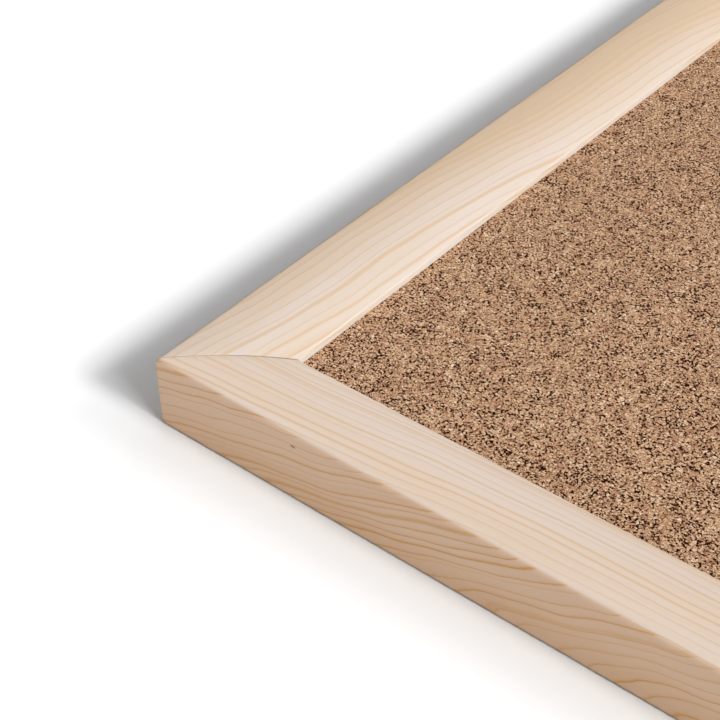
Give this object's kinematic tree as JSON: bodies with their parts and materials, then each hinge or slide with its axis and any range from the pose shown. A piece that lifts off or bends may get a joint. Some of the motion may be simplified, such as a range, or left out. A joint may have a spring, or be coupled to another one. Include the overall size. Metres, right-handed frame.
{
  "type": "cork bulletin board",
  "caption": "Pine-framed cork bulletin board with mitred crowned rails, a cork face on a fibreboard panel, and swinging D-ring hangers on its back.",
  "frame": {"origin": "centre of the back's resting plane, under the middle of the board", "axes": "+X along the long side to the right, +Y towards the edge that hangs uppermost, +Z out of the cork face"},
  "size_m": [0.6, 0.4, 0.017],
  "materials": {
    "pine": "satin",
    "cork": "matte",
    "fibreboard": "matte",
    "hardboard": "matte",
    "zinc_steel": "satin"
  },
  "bodies": {
    "board": {"bottom_rail": "pine", "right_rail": "pine", "top_rail": "pine", "left_rail": "pine", "cork_sheet": "cork", "fibreboard_core": "fibreboard", "hardboard_back": "hardboard", "v_nails_bottom_left": "zinc_steel", "v_nails_bottom_right": "zinc_steel", "v_nails_top_right": "zinc_steel", "v_nails_top_left": "zinc_steel", "points_bottom": "zinc_steel", "points_right": "zinc_steel", "points_top": "zinc_steel", "points_left": "zinc_steel", "hanger_strap_left": "zinc_steel", "hanger_strap_right": "zinc_steel", "hanger_screw_left": "zinc_steel", "hanger_screw_right": "zinc_steel"},
    "ring_left": {"hanger_ring_left": "zinc_steel"},
    "ring_right": {"hanger_ring_right": "zinc_steel"}
  },
  "joints": [
    {"name": "ring_left_swing", "type": "hinge", "parent": "board", "child": "ring_left", "pos_m": [-0.2914, 0.118, 0.00192], "axis": [-1, 0, 0], "range_deg": [-3, 170]},
    {"name": "ring_right_swing", "type": "hinge", "parent": "board", "child": "ring_right", "pos_m": [0.2914, 0.118, 0.00192], "axis": [-1, 0, 0], "range_deg": [-3, 170]}
  ]
}
